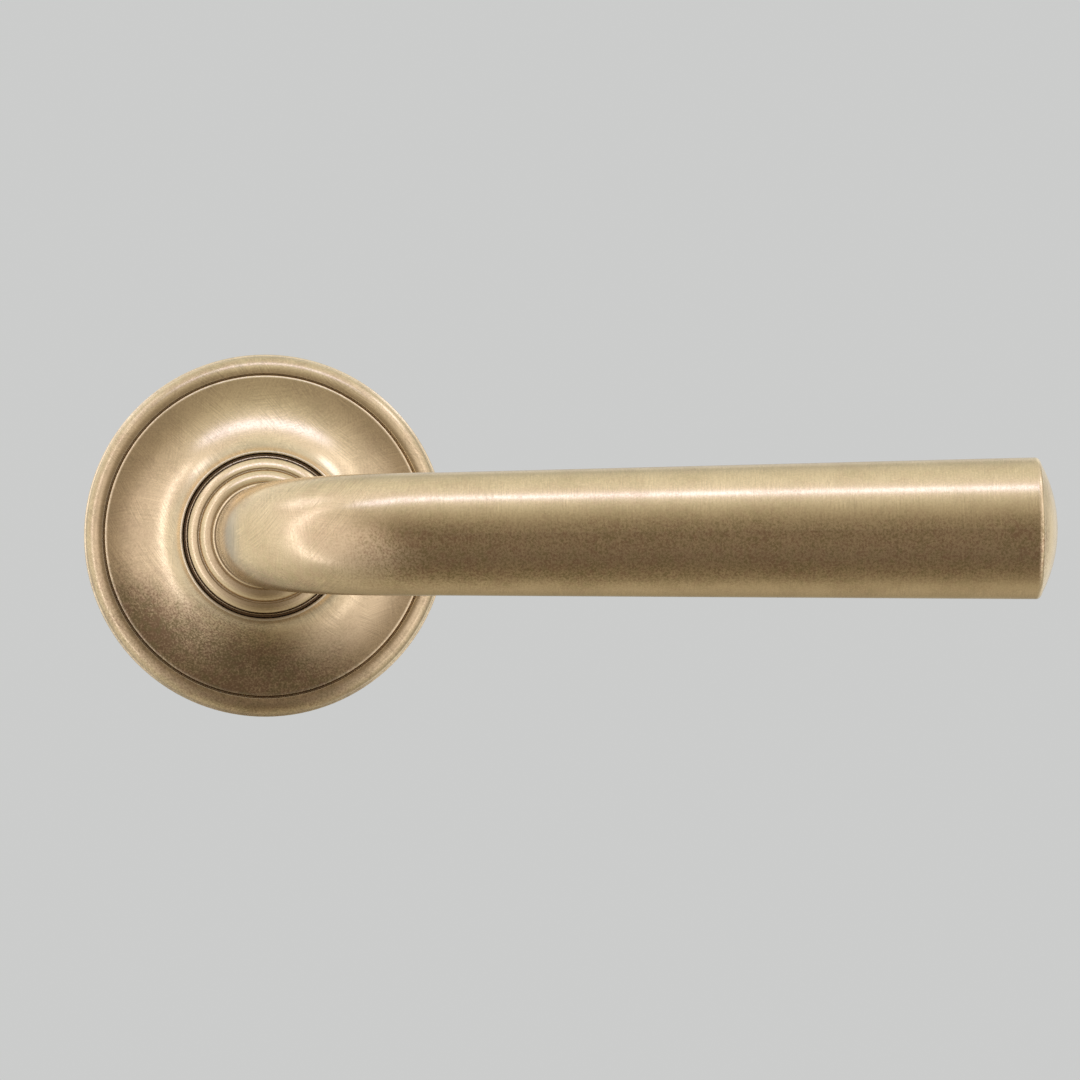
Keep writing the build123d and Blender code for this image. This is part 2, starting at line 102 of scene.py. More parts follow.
def ramp(tree, factor, stops):
    """A colour ramp from (position, value) stops, where a value is a grey or a colour."""
    made = node(tree, "ShaderNodeValToRGB", {0: factor})
    band = made.color_ramp
    while len(band.elements) < len(stops):
        band.elements.new(1.0)
    for element, (place, value) in zip(band.elements, stops):
        element.position = place
        colour = (value, value, value) if isinstance(value, float) else value
        element.color = (*colour, 1.0)
    return made.outputs[0]


def mix(tree, factor, first, second, blend="MIX"):
    """Mix two colours by a factor; gives the result's socket."""
    made = node(tree, "ShaderNodeMix", data_type="RGBA", blend_type=blend)
    for socket, value in ((0, factor), (6, first), (7, second)):
        if isinstance(value, bpy.types.NodeSocket):
            tree.links.new(value, made.inputs[socket])
        elif socket == 0:
            made.inputs[socket].default_value = value
        else:
            made.inputs[socket].default_value = (*value, 1.0)
    return made.outputs[2]


def node_group(name, inputs, outputs):
    """An empty group with named float or vector inputs and float or vector outputs."""
    tree = bpy.data.node_groups.new(name, "ShaderNodeTree")
    for label, default in inputs.items():
        kind = "NodeSocketVector" if isinstance(default, tuple) else "NodeSocketFloat"
        socket = tree.interface.new_socket(label, in_out="INPUT", socket_type=kind)
        socket.default_value = default
    for label, kind in outputs.items():
        tree.interface.new_socket(label, in_out="OUTPUT", socket_type=kind)
    return tree, tree.nodes.new("NodeGroupInput"), tree.nodes.new("NodeGroupOutput")


def use(tree, group, **wires):
    """Place a node group in a material with this material's own values."""
    made = node(tree, "ShaderNodeGroup", node_tree=group)
    return wire(tree, made, {key.replace("_", " "): value for key, value in wires.items()})


print("helpers ready")

# %% [markdown]
# ## Patina
# Brass left in the air turns brown, unevenly. Large soft clouds come from where it was
# handled and fine speckle from the metal's own grain. Two noises of very different size
# say this better than one detailed noise, because the two sizes can be weighed apart.


# %% Patina group
def make_patina():
    tree, given, out = node_group(
        "patina",
        {"Position": (0.0, 0.0, 0.0), "Cloud Size": 9.0, "Grain Size": 0.3, "Cloud": 0.5,
         "Grain": 0.5, "Level": 0.5},
        {"Mask": "NodeSocketFloat", "Speckle": "NodeSocketFloat"},
    )
    place = given.outputs["Position"]
    cloud = node(tree, "ShaderNodeTexNoise", {
        "Vector": place, "Scale": sums(tree, "DIVIDE", 1.0, given.outputs["Cloud Size"]),
        "Detail": 4.0, "Roughness": 0.6, "Distortion": 0.4})
    grain = node(tree, "ShaderNodeTexNoise", {
        "Vector": place, "Scale": sums(tree, "DIVIDE", 1.0, given.outputs["Grain Size"]),
        "Detail": 2.0, "Roughness": 0.6})
    soft = sums(tree, "SUBTRACT", cloud.outputs["Fac"], 0.5)
    fine = sums(tree, "SUBTRACT", grain.outputs["Fac"], 0.5)
    soft = sums(tree, "MULTIPLY_ADD", soft, given.outputs["Cloud"], given.outputs["Level"])
    level = sums(tree, "MULTIPLY_ADD", fine, given.outputs["Grain"], soft, clamp=True)
    tree.links.new(level, out.inputs["Mask"])
    tree.links.new(grain.outputs["Fac"], out.inputs["Speckle"])
    return tree


patina = make_patina()
print("group:", patina.name, [s.name for s in patina.interface.items_tree])

# %% [markdown]
# ## Hand-rubbed scratches
# The finish was rubbed with a fine pad. Each stroke leaves a bundle of hair-thin lines,
# and neighbouring strokes cross at different angles. A noise that is squeezed across and
# stretched along one direction looks like one bundle. Three bundles at different angles,
# each shown only in its own patches, look like many strokes.


# %% Scratch group
# Each bundle's angle in radians and its weight.
BUNDLES = ((0.0, 1.0), (0.9, 0.6), (2.2, 0.5))


def make_scratches():
    tree, given, out = node_group(
        "rubbed_scratches",
        {"Position": (0.0, 0.0, 0.0), "Line Width": 0.15, "Line Length": 4.5, "Patch Size": 6.0,
         "Turn": 0.0},
        {"Lines": "NodeSocketFloat"},
    )
    place = given.outputs["Position"]
    along = sums(tree, "DIVIDE", 1.0, given.outputs["Line Length"])
    across = sums(tree, "DIVIDE", 1.0, given.outputs["Line Width"])
    squeeze = node(tree, "ShaderNodeCombineXYZ", {"X": along, "Y": along, "Z": across})
    wobble = node(tree, "ShaderNodeTexNoise", {"Vector": place, "Scale": 0.04, "Detail": 0.0})
    lean = sums(tree, "MULTIPLY_ADD", wobble.outputs["Fac"], 0.8, given.outputs["Turn"])
    patch_scale = sums(tree, "DIVIDE", 1.0, given.outputs["Patch Size"])
    total = 0.5
    for number, (angle, share) in enumerate(BUNDLES):
        turned = node(tree, "ShaderNodeVectorRotate", {
            "Vector": place, "Axis": (0.0, 1.0, 0.0), "Angle": sums(tree, "ADD", lean, angle)},
            rotation_type="AXIS_ANGLE")
        stretched = node(tree, "ShaderNodeVectorMath", {
            0: turned.outputs[0], 1: squeeze.outputs[0]}, operation="MULTIPLY")
        lines = node(tree, "ShaderNodeTexNoise", {
            "Vector": stretched.outputs[0], "W": 3.7 * number, "Scale": 1.0, "Detail": 2.0,
            "Roughness": 0.6}, noise_dimensions="4D")
        patch = node(tree, "ShaderNodeTexNoise", {
            "Vector": place, "W": 11.3 * number, "Scale": patch_scale, "Detail": 1.0},
            noise_dimensions="4D")
        part = sums(tree, "MULTIPLY", sums(tree, "SUBTRACT", lines.outputs["Fac"], 0.5), share)
        total = sums(tree, "MULTIPLY_ADD", part, fade(tree, patch.outputs["Fac"], 0.4, 0.6), total)
    tree.links.new(total, out.inputs["Lines"])
    return tree


scratches = make_scratches()
print("group:", scratches.name, [s.name for s in scratches.interface.items_tree])

# %% [markdown]
# ## Strokes in one direction
# Turned, drawn and brushed metal has lines that all run one way. On the bar they run
# round it, on the spindle along it, and on a turned piece in rings. One group serves all
# of them: it takes a size for each direction, and a stroke is as long as the largest.


# %% Stroke group
def make_strokes():
    tree, given, out = node_group(
        "brush_strokes",
        {"Position": (0.0, 0.0, 0.0), "Size": (0.2, 2.0, 2.0), "Break Up": 0.5},
        {"Lines": "NodeSocketFloat"},
    )
    squeezed = node(tree, "ShaderNodeVectorMath", {
        0: given.outputs["Position"], 1: given.outputs["Size"]}, operation="DIVIDE")
    lines = node(tree, "ShaderNodeTexNoise", {
        "Vector": squeezed.outputs[0], "Scale": 1.0, "Detail": 3.0, "Roughness": 0.6})
    patch = node(tree, "ShaderNodeTexNoise", {
        "Vector": given.outputs["Position"], "Scale": 0.35, "Detail": 2.0})
    steady = sums(tree, "SUBTRACT", 1.0, given.outputs["Break Up"])
    strength = sums(tree, "MULTIPLY_ADD", fade(tree, patch.outputs["Fac"], 0.35, 0.65),
                    given.outputs["Break Up"], steady)
    centred = sums(tree, "SUBTRACT", lines.outputs["Fac"], 0.5)
    tree.links.new(sums(tree, "MULTIPLY_ADD", centred, strength, 0.5), out.inputs["Lines"])
    return tree


strokes = make_strokes()
print("group:", strokes.name, [s.name for s in strokes.interface.items_tree])

# %% [markdown]
# ## Worn edges and dirty corners, with painted highlight and shade
# Hands and cloths polish what stands proud, and dirt stays in what lies deep. The edge
# mask also paints a highlight along crisp edges, and the corner mask also paints shade
# into hollows and gaps. A bevel node bends the normal near an edge, so the angle between
# the bent and the true normal marks edges. Ambient occlusion measured over a millimetre
# or two marks the corners. The bent normal comes out too: it rounds every sharp edge of
# a piece for the light.


# %% Wear, painted highlight and painted shade group
def make_wear_and_painted_light():
    tree, given, out = node_group(
        "wear_and_painted_light",
        {"Edge Width": 0.0002, "Corner Depth": 0.0012, "Edge Gain": 6.0},
        {"Edges": "NodeSocketFloat", "Corners": "NodeSocketFloat", "Rounded": "NodeSocketVector"},
    )
    rounded = node(tree, "ShaderNodeBevel", {"Radius": given.outputs["Edge Width"]}, samples=6)
    true = node(tree, "ShaderNodeNewGeometry")
    same = node(tree, "ShaderNodeVectorMath", {0: rounded.outputs[0], 1: true.outputs["Normal"]},
                operation="DOT_PRODUCT")
    bent = sums(tree, "SUBTRACT", 1.0, same.outputs["Value"])
    hollow = node(tree, "ShaderNodeAmbientOcclusion", {"Distance": given.outputs["Corner Depth"]},
                  samples=8)
    # Edges: the polish of wear and a painted highlight.
    edges = sums(tree, "MULTIPLY", bent, given.outputs["Edge Gain"], clamp=True)
    edges = sums(tree, "MULTIPLY", edges, fade(tree, hollow.outputs["AO"], 0.2, 0.6))
    # Corners: dirt and painted shade in hollows and gaps.
    corners = sums(tree, "SUBTRACT", 1.0, hollow.outputs["AO"], clamp=True)
    tree.links.new(edges, out.inputs["Edges"])
    tree.links.new(corners, out.inputs["Corners"])
    tree.links.new(rounded.outputs[0], out.inputs["Rounded"])
    return tree


wear_and_painted_light = make_wear_and_painted_light()
print("group:", wear_and_painted_light.name, [s.name for s in wear_and_painted_light.interface.items_tree])

# %% [markdown]
# ## Aged brass
# The lever, its collar and the rose's cover share one finish: satin brass, browner where
# it is left alone, brighter where it is rubbed. It is dark in the grooves, which is dirt
# and painted shade, and bright on the crisp edges, which is polish and a painted
# highlight. Some patches are painted darker as shade, and some greyer as a painted
# reflection of the pale wall. Brass has no paint over it, so the rest is the metal's
# own colour, mixed step by step. The lines also press into the surface through one bump.


# %% Brass colours and the start of a material
BRASS_RUBBED = (0.93, 0.735, 0.45)
BRASS_BROWNS = ((0.55, 0.375, 0.215), (0.51, 0.4, 0.2))
BRASS_DEEP_BROWNS = ((0.39, 0.265, 0.155), (0.36, 0.28, 0.145))
# Dark brown for hollows: dirt and painted shade.
BRASS_DIRT_AND_SHADE = (0.2, 0.12, 0.06)
# Grey for painted reflections of the pale wall.
BRASS_GREY_REFLECTION = (0.68, 0.61, 0.48)
# Pale gold for edges: polish and a painted highlight.
BRASS_EDGE_POLISH_AND_HIGHLIGHT = (1.0, 0.93, 0.76)


def new_material(name, metallic):
    """A material with its shader, output and the piece's own coordinates in millimetres."""
    made = bpy.data.materials.new(name)
    made.use_nodes = True
    tree = made.node_tree
    tree.nodes.clear()
    shader = node(tree, "ShaderNodeBsdfPrincipled", {"Metallic": metallic})
    node(tree, "ShaderNodeOutputMaterial", {"Surface": shader.outputs[0]})
    place = node(tree, "ShaderNodeTexCoord")
    scaled = node(tree, "ShaderNodeVectorMath", {0: place.outputs["Object"], "Scale": 1 / MM},
                  operation="SCALE")
    return made, tree, shader, scaled.outputs[0]


def dress(*names, material):
    """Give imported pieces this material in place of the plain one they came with."""
    for name in names:
        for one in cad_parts[name].material_slots:
            one.material = material
    print(material.name, "on", ", ".join(names))


def finish_brass(tree, shader, position, mask, lines, edge_hollow_masks, browns=BRASS_BROWNS, grey_reflection=0.0,
                 gap_shade=0.0):
    """Join the masks into the brass's colour, gloss and surface."""
    hue = node(tree, "ShaderNodeTexNoise", {"Vector": position, "Scale": 0.6, "Detail": 2.0})
    brown = mix(tree, fade(tree, hue.outputs["Fac"], 0.4, 0.6), browns[0], browns[1])
    colour = mix(tree, mask, BRASS_RUBBED, brown)
    # Painted reflection: where the mask allows, the colour goes grey as if it mirrored the pale
    # wall.
    colour = mix(tree, grey_reflection, colour, BRASS_GREY_REFLECTION)
    shade = node(tree, "ShaderNodeMapRange", {"Value": lines, "From Min": 0.3, "From Max": 0.7,
                                              "To Min": 0.8, "To Max": 1.16})
    tone = node(tree, "ShaderNodeCombineColor", {n: shade.outputs[0] for n in (0, 1, 2)})
    colour = mix(tree, 1.0, colour, tone.outputs[0], blend="MULTIPLY")
    # Dirt and painted shade in hollows; the collar's gap is painted shade alone.
    dirt_and_shade = sums(tree, "MAXIMUM", fade(tree, edge_hollow_masks.outputs["Corners"], 0.4, 0.9), gap_shade)
    colour = mix(tree, dirt_and_shade, colour, BRASS_DIRT_AND_SHADE)
    # Polish and a painted highlight on the edges.
    colour = mix(tree, edge_hollow_masks.outputs["Edges"], colour, BRASS_EDGE_POLISH_AND_HIGHLIGHT)
    rough = sums(tree, "MULTIPLY_ADD", mask, 0.14, 0.2)
    bump = node(tree, "ShaderNodeBump", {"Height": lines, "Strength": 1.0, "Distance": 0.0055 * MM,
                                         "Normal": edge_hollow_masks.outputs["Rounded"]})
    wire(tree, shader, {"Base Color": colour, "Roughness": rough, "Normal": bump.outputs[0]})


print("brass from", BRASS_RUBBED, "to", BRASS_BROWNS)

# %% [markdown]
# ## The lever's brass
# The bar was brushed round and round, so its lines run across it. The bend is harder to
# brush, and there the pad's crossing strokes show instead. To let the lines follow the
# bend, this works out the distance along the handle's centre line: round the bend it is
# an angle times the bend's radius, and on the straight bar it is simply X. Fingers rub
# the bar's top and underside, so the band between them keeps more of the patina, and it
# is also painted darker as shade. The lower side of the bend is painted darker as shade,
# and the left side of the bend greyer as a painted reflection of the pale wall.


# %% Lever material
BEND_CENTRE = (28.0, -22.0)
BEND_RADIUS = 28.0
# The band of patina and painted shade on the bar's front, in millimetres: its two edges
# in height, its two ends along the bar, and how far forwards it lies. Each pair goes from
# none to full.
BAND_HEIGHTS = ((4.0, -1.0), (-9.5, -6.0))
BAND_ALONG = ((8.0, 24.0), (126.0, 124.5))
BAND_FRONT = (-46.0, -53.0)


def lever_brass():
    made, tree, shader, position = new_material("aged_brass_lever", 1.0)
    x, y, z = node(tree, "ShaderNodeSeparateXYZ", {0: position}).outputs
    from_centre = sums(tree, "SUBTRACT", x, BEND_CENTRE[0])
    behind = sums(tree, "MULTIPLY", sums(tree, "MINIMUM", from_centre, -0.001), -1.0)
    before = sums(tree, "SUBTRACT", BEND_CENTRE[1], y)
    turn = sums(tree, "ARCTAN2", before, behind)
    straight = sums(tree, "MAXIMUM", from_centre, 0.0)
    along = sums(tree, "MULTIPLY_ADD", turn, BEND_RADIUS, straight)
    unrolled = node(tree, "ShaderNodeCombineXYZ", {"X": along, "Y": y, "Z": z}).outputs[0]
    round_bar = use(tree, strokes, Position=unrolled, Size=(0.24, 2.2, 2.2), Break_Up=0.7)
    rubbed = use(tree, scratches, Position=position, Turn=0.4)
    on_bar = fade(tree, x, 8.0, 32.0)
    lines = sums(tree, "MULTIPLY_ADD", round_bar.outputs["Lines"], 0.65, 0.175)
    lines = mix(tree, on_bar, rubbed.outputs["Lines"], lines)
    # Patina and painted shade on the front band of the bar.
    band = sums(tree, "MULTIPLY", between(tree, z, *BAND_HEIGHTS), fade(tree, y, *BAND_FRONT))
    front = sums(tree, "MULTIPLY", band, between(tree, x, *BAND_ALONG))
    # Painted shade on the lower side of the bend.
    underside_shade = sums(tree, "MULTIPLY", fade(tree, z, -3.0, -7.5), fade(tree, x, 14.0, 6.0))
    patina_and_shade = sums(tree, "MULTIPLY_ADD", front, 0.3, sums(tree, "MULTIPLY_ADD", underside_shade, 0.4, 0.16))
    specks = sums(tree, "MULTIPLY_ADD", front, 3.4, 0.8)
    spots = use(tree, patina, Position=position, Grain_Size=0.38, Cloud=1.0, Grain=specks,
                Level=patina_and_shade)
    # A strong edge gain: polish and a bright painted highlight along the lever's edges.
    edge_hollow_masks = use(tree, wear_and_painted_light, Edge_Width=0.0003, Edge_Gain=16.0)
    # Painted reflection: the bend's left side is greyed as if it mirrored the pale wall.
    painted_flank = sums(tree, "MULTIPLY", fade(tree, x, -3.6, -6.6), 0.9)
    finish_brass(tree, shader, position, spots.outputs["Mask"], lines, edge_hollow_masks, grey_reflection=painted_flank)
    return made


dress("lever_handle", material=lever_brass())

# %% [markdown]
# ## The rose's and collar's brass
# The rose gets the pad's crossing strokes all over. Its lower half is browner: partly
# patina, as the lever keeps hands and cloths off it, and partly painted shade where the
# lever's shadow falls. A slow change down the face adds to the level there. The bead's
# outer flank is painted darker as shade, and the lip round the collar greyer as a painted
# reflection of the pale wall. The collar turned with the lathe, so it has fine rings, and
# its low flange is painted dark as shade in the gap under the rose's lip.


# %% Rose and collar materials
def radius_place(tree, position):
    """Coordinates that turn rings into straight lines: the radius, then the height."""
    x, y, z = node(tree, "ShaderNodeSeparateXYZ", {0: position}).outputs
    flat = node(tree, "ShaderNodeCombineXYZ", {"X": x, "Y": z})
    radius = node(tree, "ShaderNodeVectorMath", {0: flat.outputs[0]}, operation="LENGTH")
    angle = sums(tree, "ARCTAN2", z, x)
    wrapped = node(tree, "ShaderNodeCombineXYZ", {
        "X": radius.outputs["Value"], "Y": y, "Z": sums(tree, "SINE", angle)})
    return wrapped.outputs[0]


# Radii on the rose in millimetres: the bead, where the lower part's painted shade is
# weaker, the flank outside it, painted darker as shade, and the lip round the collar,
# painted greyer as a reflection of the pale wall. LOW_PART is how far down the face the
# browner part begins, patina with painted shade. Each pair goes from none to full.
BEAD_RADII = (26.5, 27.0)
FLANK_RADII = ((27.9, 28.4), (29.6, 29.0))
LIP_RADII = (16.5, 14.2)
LOW_PART = (10.5, 23.0)


def rose_brass():
    made, tree, shader, position = new_material("aged_brass_rose", 1.0)
    x, _, z = node(tree, "ShaderNodeSeparateXYZ", {0: position}).outputs
    rubbed = use(tree, scratches, Position=position, Turn=2.0, Patch_Size=5.0)
    low = sums(tree, "MULTIPLY_ADD", x, -0.4, sums(tree, "MULTIPLY", z, -1.0))
    radius = node(tree, "ShaderNodeSeparateXYZ", {0: radius_place(tree, position)}).outputs[0]
    # Patina and painted shade over the lower face, weaker from the bead outwards.
    off_bead = sums(tree, "MULTIPLY_ADD", fade(tree, radius, *BEAD_RADII), -0.6, 1.0)
    shaded = sums(tree, "MULTIPLY", fade(tree, low, *LOW_PART), off_bead)
    specks = sums(tree, "MULTIPLY_ADD", shaded, 2.2, 0.8)
    # Painted shade on the bead's outer flank.
    painted_flank = between(tree, radius, *FLANK_RADII)
    shaded = sums(tree, "MAXIMUM", shaded, sums(tree, "MULTIPLY", painted_flank, 0.32))
    patina_and_shade = sums(tree, "MULTIPLY_ADD", shaded, 0.85, 0.1)
    spots = use(tree, patina, Position=position, Grain_Size=0.34, Cloud=1.0, Grain=specks,
                Level=patina_and_shade)
    # A strong edge gain: polish and a bright painted highlight along the rose's edges.
    edge_hollow_masks = use(tree, wear_and_painted_light, Edge_Width=0.00028, Edge_Gain=14.0)
    # Painted reflection: the lip round the collar is greyed as if it mirrored the pale wall.
    lip_reflection = sums(tree, "MULTIPLY", fade(tree, radius, *LIP_RADII), 0.28)
    finish_brass(tree, shader, position, spots.outputs["Mask"], rubbed.outputs["Lines"], edge_hollow_masks,
                 browns=BRASS_DEEP_BROWNS, grey_reflection=lip_reflection)
    return made


# The collar's low flange, painted dark as shade in the gap under the rose's lip.
FLANGE_RADII = (13.08, 13.14)


def collar_brass():
    made, tree, shader, position = new_material("aged_brass_collar", 1.0)
    ring_place = radius_place(tree, position)
    rings = use(tree, strokes, Position=ring_place, Size=(0.12, 0.12, 0.6))
    spots = use(tree, patina, Position=position, Cloud=0.8, Grain=1.4, Level=0.1)
    edge_hollow_masks = use(tree, wear_and_painted_light)
    radius = node(tree, "ShaderNodeSeparateXYZ", {0: ring_place}).outputs[0]
    # The flange takes the dark colour fully: painted shade, not dirt.
    finish_brass(tree, shader, position, spots.outputs["Mask"], rings.outputs["Lines"], edge_hollow_masks,
                 gap_shade=fade(tree, radius, *FLANGE_RADII))
    return made


dress("rose_cover", material=rose_brass())
dress("neck_collar", material=collar_brass())

# %% [markdown]
# ## Steel, zinc and nylon
# Behind the cover nothing is brass. The pressings and screws are zinc-plated steel, cool
# grey with a faint yellow and blue bloom. The spring is darker, oil-tempered steel, the
# clip and the grub screw are blackened, and the plate is a grainy zinc casting. These
# differ in colours and in the size of their marks, so one function makes them all. The
# bushes are moulded nylon: no metal, and a soft pebbled skin.


# %% Finishes behind the cover
def workshop_finish(name, clean, stained, edge, rough, size, stain=0.4, grain=1.2, depth=0.01,
                    metallic=1.0, ringed=False):
    """A plain engineering finish: two tones, drawn or turned lines, lighter edges, darker hollows.
    """
    made, tree, shader, position = new_material(name, metallic)
    place = radius_place(tree, position) if ringed else position
    spots = use(tree, patina, Position=position, Cloud_Size=5.0, Grain_Size=0.35, Cloud=1.4,
                Grain=grain, Level=stain)
    lines = use(tree, strokes, Position=place, Size=size, Break_Up=0.6)
    edge_hollow_masks = use(tree, wear_and_painted_light, Edge_Width=0.00012, Edge_Gain=4.0)
    colour = mix(tree, spots.outputs["Mask"], clean, stained)
    # Darker in the hollows and lighter on the edges, from the corner and edge masks.
    hollow_tone = tuple(c * 0.35 for c in stained)
    colour = mix(tree, fade(tree, edge_hollow_masks.outputs["Corners"], 0.3, 1.0), colour, hollow_tone)
    colour = mix(tree, edge_hollow_masks.outputs["Edges"], colour, edge)
    relief = sums(tree, "ADD", lines.outputs["Lines"], spots.outputs["Speckle"])
    bump = node(tree, "ShaderNodeBump", {"Height": relief, "Strength": 1.0, "Distance": depth * MM,
                                         "Normal": edge_hollow_masks.outputs["Rounded"]})
    gloss = sums(tree, "MULTIPLY_ADD", spots.outputs["Mask"], 0.15, rough)
    wire(tree, shader, {"Base Color": colour, "Roughness": gloss, "Normal": bump.outputs[0]})
    return made


plated_steel = workshop_finish(
    "zinc_plated_steel", (0.66, 0.67, 0.69), (0.5, 0.5, 0.47), (0.82, 0.83, 0.84), 0.26,
    (1.5, 1.5, 0.12))
turned_steel = workshop_finish(
    "turned_plated_steel", (0.68, 0.69, 0.71), (0.54, 0.53, 0.49), (0.85, 0.86, 0.87), 0.24,
    (0.1, 0.1, 0.8), ringed=True)
drawn_steel = workshop_finish(
    "drawn_bar_steel", (0.62, 0.62, 0.63), (0.42, 0.41, 0.39), (0.8, 0.8, 0.8), 0.28,
    (0.12, 6.0, 0.12))
spring_steel = workshop_finish(
    "oil_tempered_steel", (0.33, 0.31, 0.29), (0.17, 0.14, 0.12), (0.6, 0.58, 0.55), 0.25,
    (0.12, 0.12, 1.0), grain=1.6, ringed=True)
black_steel = workshop_finish(
    "blackened_steel", (0.07, 0.07, 0.075), (0.035, 0.033, 0.032), (0.4, 0.4, 0.41), 0.38,
    (0.3, 0.3, 0.3), grain=1.4)
cast_zinc = workshop_finish(
    "cast_zinc", (0.56, 0.565, 0.57), (0.42, 0.42, 0.41), (0.72, 0.72, 0.72), 0.42,
    (0.5, 0.5, 0.5), grain=1.6, depth=0.03)
moulded_nylon = workshop_finish(
    "moulded_nylon", (0.8, 0.78, 0.72), (0.7, 0.67, 0.6), (0.86, 0.84, 0.79), 0.4,
    (0.4, 0.4, 0.4), grain=0.8, depth=0.02, metallic=0.0)
dress("spindle", material=drawn_steel)
dress("drive_cam", "thrust_washer", "spring_housing", material=plated_steel)
dress("spring_washer", "cover_clip", "collar_pin", "stop_pins", material=spring_steel)
dress("retaining_clip", material=black_steel)
dress("mounting_plate", material=cast_zinc)
dress("front_bush", "rear_bush", material=moulded_nylon)

# %% [markdown]
# ## Building round pieces from rings
# A screw, a post and a spring wire are all a chain of rings with skin between them. One
# helper joins any such chain into a closed mesh. For a turned piece each ring is a
# circle. For a thread the circle's radius also rises and falls once round each turn,
# which is what makes a true spiral ridge instead of a stack of discs.


# %% Rings to mesh
ROUND = 48


def skin(rings):
    """A closed bmesh through rings of equally many points, with both ends capped."""
    shape = bmesh.new()
    loops = [[shape.verts.new(point) for point in ring] for ring in rings]
    count = len(rings[0])
    for first, second in zip(loops, loops[1:]):
        for n in range(count):
            after = (n + 1) % count
            shape.faces.new((first[n], first[after], second[after], second[n]))
    shape.faces.new(loops[0][::-1])
    shape.faces.new(loops[-1])
    bmesh.ops.recalc_face_normals(shape, faces=shape.faces)
    return shape


def piece_from(shape, name, sharp_angle=35.0):
    """Turn a bmesh into a linked object, smooth except at its sharp edges."""
    shape.normal_update()
    for face in shape.faces:
        face.smooth = True
    for edge in shape.edges:
        if len(edge.link_faces) == 2:
            edge.smooth = edge.calc_face_angle() < math.radians(sharp_angle)
    mesh = bpy.data.meshes.new(name)
    shape.to_mesh(mesh)
    shape.free()
    made = bpy.data.objects.new(name, mesh)
    bpy.context.scene.collection.objects.link(made)
    return made


def turned_rings(profile, thread=None):
    """Rings about +Z from (height, radius) pairs in mm; thread gives (height, angle) a rise."""
    rings = []
    for height, radius in profile:
        ring = []
        for n in range(ROUND):
            angle = 2 * math.pi * n / ROUND
            reach = radius + (thread(height, angle) if thread else 0.0)
            ring.append(Vector((reach * math.cos(angle), reach * math.sin(angle), height)) * MM)
        rings.append(ring)
    return rings


def cut(body, cutter, name):
    """Take one closed bmesh out of another, and give the result as a bmesh."""
    base = piece_from(body, name + "_body")
    tool = piece_from(cutter, name + "_tool")
    step = base.modifiers.new("cut", "BOOLEAN")
    step.operation, step.solver, step.object = "DIFFERENCE", "EXACT", tool
    evaluated = base.evaluated_get(bpy.context.evaluated_depsgraph_get())
    result = bmesh.new()
    result.from_mesh(evaluated.to_mesh())
    evaluated.to_mesh_clear()
    for used in (base, tool):
        old = used.data
        bpy.data.objects.remove(used)
        bpy.data.meshes.remove(old)
    return result


print("points round each ring:", ROUND)

# %% [markdown]
# ## Screw parts
# A cross recess is a tapered cross sunk into the head, and a hexagon socket a six-sided
# well. Both are cut as solids. A thread's ridge is one triangle in each pitch, measured
# from the height plus the angle's share of a pitch, so it climbs as it goes round.


# %% Recess and thread helpers
def prism(outline, top, bottom, taper):
    """A tapered well from a flat outline in mm, between two heights."""
    rings = []
    for height, scale in ((bottom, taper), (top, 1.0)):
        rings.append([Vector((x * scale, y * scale, height)) * MM for x, y in outline])
    return skin(rings)


def cross_outline(reach, width):
    """The twelve corners of a cross."""
    half = width / 2
    quarter = [(reach, -half), (reach, half), (half, half)]
    corners = []
    for turn in range(4):
        cosine, sine = round(math.cos(turn * math.pi / 2)), round(math.sin(turn * math.pi / 2))
        corners += [(x * cosine - y * sine, x * sine + y * cosine) for x, y in quarter]
    return corners


def spiral(pitch, depth, start, end, sharpness=1.0, run_out=1.0):
    """A thread's rise above its root, between two heights, fading over run_out mm at its ends."""
    def rise(height, angle):
        share = (height / pitch - angle / (2 * math.pi)) % 1.0
        ridge = max(0.0, 1.0 - sharpness * abs(2.0 * share - 1.0))
        fade_in = min(1.0, max(0.0, (height - start) / run_out), max(0.0, (end - height) / run_out))
        return depth * ridge * fade_in
    return rise


def heights(start, end, step):
    """Evenly spaced heights from start to end, both included."""
    count = max(1, round(abs(end - start) / step))
    return [start + (end - start) * n / count for n in range(count + 1)]


def rounded_rim(crown, reach, rounding):
    """A quarter round from a head's flat crown to its side, as (height, radius) pairs."""
    angles = [math.radians(degrees) for degrees in range(90, -1, -15)]
    return [(crown - rounding + rounding * math.sin(a), reach - rounding + rounding * math.cos(a))
            for a in angles]


cross = cross_outline(1.8, 0.9)
print("cross recess corners:", len(cross))

# %% [markdown]
# ## Wood screws
# Four countersunk screws hold the plate to the door. Each has a flat head with a cross
# recess, a plain shank, and a sharp, widely spaced thread that tapers to a point. A
# wood thread is mostly root with a thin crest, which is a sharpness above one. The four
# stop at different turns, as screws do, so each is turned by its own angle.


# %% Wood screws
PLATE_FACE = 2.2
SCREW_CIRCLE = 21.0
WOOD_SHANK, WOOD_ROOT = 1.9, 1.28
WOOD_TIP = -25.0


